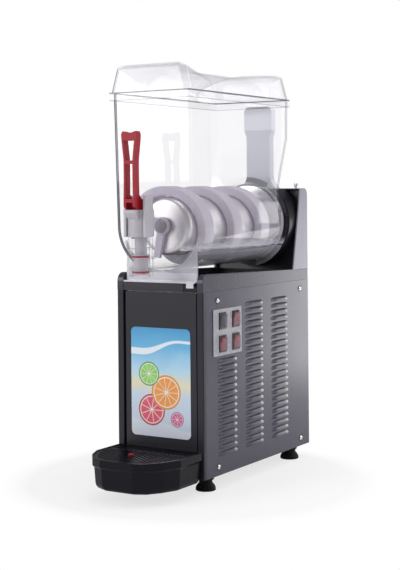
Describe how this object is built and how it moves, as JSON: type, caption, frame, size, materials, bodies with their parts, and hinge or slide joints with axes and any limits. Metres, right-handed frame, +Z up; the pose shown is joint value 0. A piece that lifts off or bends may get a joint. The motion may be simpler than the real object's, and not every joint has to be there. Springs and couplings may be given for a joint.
{
  "type": "slush machine",
  "caption": "Counter-top slush dispenser: louvred cabinet, chilled drum with spiral auger in a clear bowl, lidded, with a pull tap over a drip tray and rocker switches on its side",
  "frame": {"origin": "on the surface that the feet stand on, below the middle of the machine: halfway across the cabinet and halfway between the drip tray's nose and the cabinet's back", "axes": "+Z up; +Y to the back; +X to the right as the machine is seen from the front, where its switches are"},
  "size_m": [0.2141, 0.5956, 0.8306],
  "materials": {
    "dark_paint": "satin powder coat, near black",
    "grey_paint": "satin powder coat, blue-grey",
    "pale_paint": "satin, pale grey",
    "zinc_sheet": "plain galvanised sheet",
    "picture_print": "printed sheet under gloss",
    "stainless": "brushed stainless steel",
    "bright_chrome": "polished",
    "dark_steel": "dark oxide steel",
    "black_rubber": "moulded rubber",
    "black_plastic": "fine matt moulding",
    "grey_plastic": "fine satin moulding",
    "white_plastic": "satin white moulding",
    "milky_plastic": "translucent milky moulding",
    "auger_plastic": "white moulding, lilac where it is thin",
    "red_plastic": "glossy red moulding",
    "red_rubber": "silicone rubber",
    "clear_plastic": "clear polycarbonate",
    "clear_boot": "clear soft vinyl",
    "copper_pipe": "drawn copper",
    "aluminium_part": "mill finish",
    "board_green": "coated circuit board"
  },
  "bodies": {
    "cabinet": {"base_pan": "zinc_sheet", "front_post_right": "black_plastic", "front_post_left": "black_plastic", "rear_posts": "zinc_sheet", "front_bulkhead": "dark_paint", "front_panel": "dark_paint", "picture_panel": "picture_print", "side_panel_right": "grey_paint", "side_panel_left": "grey_paint", "panel_screws": "bright_chrome", "side_screw_washers": "black_rubber", "rear_panel": "grey_paint", "cable_gland": "black_plastic", "feet": "black_rubber", "top_deck": "zinc_sheet", "deck_tray": "grey_plastic", "front_trim": "grey_plastic", "bowl_catch": "black_plastic", "side_rail_right": "grey_plastic", "side_rail_left": "grey_plastic", "tower_cover": "pale_paint", "tower_front": "black_plastic", "consistency_nut": "stainless", "light_column": "milky_plastic", "lamp_board": "board_green", "switch_plate": "pale_paint", "switch_housings": "black_plastic", "switch_boots": "clear_boot", "evaporator_drum": "stainless", "drum_flange": "stainless", "bowl_gasket": "black_rubber", "shaft_seal": "black_rubber", "gearmotor": "aluminium_part", "tray_bracket": "stainless", "condenser": "aluminium_part", "fan_shroud": "black_plastic", "fan_motor": "dark_steel", "compressor": "dark_paint", "control_box": "grey_plastic", "refrigerant_pipes": "copper_pipe"},
    "auger_drive": {"auger": "auger_plastic", "auger_nut": "grey_plastic", "drive_shaft": "stainless"},
    "fan": {"fan_blade": "black_plastic"},
    "rocker_front_upper": {"rocker_1": "black_plastic"},
    "rocker_rear_upper": {"rocker_2": "red_plastic"},
    "rocker_front_lower": {"rocker_3": "red_plastic"},
    "rocker_rear_lower": {"rocker_4": "red_plastic"},
    "knob": {"consistency_knob": "bright_chrome"},
    "bowl_unit": {"bowl": "clear_plastic", "tap_body": "white_plastic", "tap_spring": "stainless"},
    "bowl_lid": {"lid": "clear_plastic"},
    "piston": {"tap_piston": "white_plastic", "tap_rings": "red_rubber"},
    "handle": {"tap_handle": "red_plastic", "tap_pin": "stainless"},
    "tray": {"drip_tray": "black_plastic"},
    "grille": {"tray_grille": "black_plastic"},
    "float": {"tray_float": "red_plastic"}
  },
  "joints": [
    {"name": "auger_spin", "type": "hinge", "parent": "cabinet", "child": "auger_drive", "pos_m": [0, 0, 0.515], "axis": [0, 1, 0], "continuous": true},
    {"name": "fan_spin", "type": "hinge", "parent": "cabinet", "child": "fan", "pos_m": [0, -0.0396, 0.125], "axis": [0, 1, 0], "continuous": true},
    {"name": "rocker_front_upper_press", "type": "hinge", "parent": "cabinet", "child": "rocker_front_upper", "pos_m": [0.1013, -0.0745, 0.3288], "axis": [0, 1, 0], "range_deg": [-16, 0]},
    {"name": "rocker_rear_upper_press", "type": "hinge", "parent": "cabinet", "child": "rocker_rear_upper", "pos_m": [0.1013, -0.0235, 0.3288], "axis": [0, 1, 0], "range_deg": [-16, 0]},
    {"name": "rocker_front_lower_press", "type": "hinge", "parent": "cabinet", "child": "rocker_front_lower", "pos_m": [0.1013, -0.0745, 0.284], "axis": [0, 1, 0], "range_deg": [-16, 0]},
    {"name": "rocker_rear_lower_press", "type": "hinge", "parent": "cabinet", "child": "rocker_rear_lower", "pos_m": [0.1013, -0.0235, 0.284], "axis": [0, 1, 0], "range_deg": [-16, 0]},
    {"name": "knob_turn", "type": "hinge", "parent": "cabinet", "child": "knob", "pos_m": [0.08, 0.283, 0.59], "axis": [0, 0, 1], "range_deg": [-720, 720]},
    {"name": "bowl_pull", "type": "slide", "parent": "cabinet", "child": "bowl_unit", "axis": [0, -1, 0], "range_m": [0, 0.36]},
    {"name": "lid_lift", "type": "slide", "parent": "bowl_unit", "child": "bowl_lid", "axis": [0, 0, 1], "range_m": [0, 0.12]},
    {"name": "piston_lift", "type": "slide", "parent": "bowl_unit", "child": "piston", "axis": [0, 0, 1], "range_m": [0, 0.0237], "deforming": ["tap_spring"]},
    {"name": "handle_pull", "type": "hinge", "parent": "piston", "child": "handle", "pos_m": [0, -0.2064, 0.5565], "axis": [1, 0, 0], "range_deg": [0, 45], "stiffness_Nm_per_rad": 0.8, "springref_deg": -11.46},
    {"name": "tray_pull", "type": "slide", "parent": "cabinet", "child": "tray", "axis": [0, -1, 0], "range_m": [0, 0.16]},
    {"name": "grille_lift", "type": "slide", "parent": "tray", "child": "grille", "axis": [0, 0, 1], "range_m": [0, 0.06]},
    {"name": "float_rise", "type": "slide", "parent": "grille", "child": "float", "axis": [0, 0, 1], "range_m": [0, 0.01]}
  ],
  "couplings": [
    {"joint": "piston_lift", "follows": "handle_pull", "m_per_rad": 0.03}
  ]
}
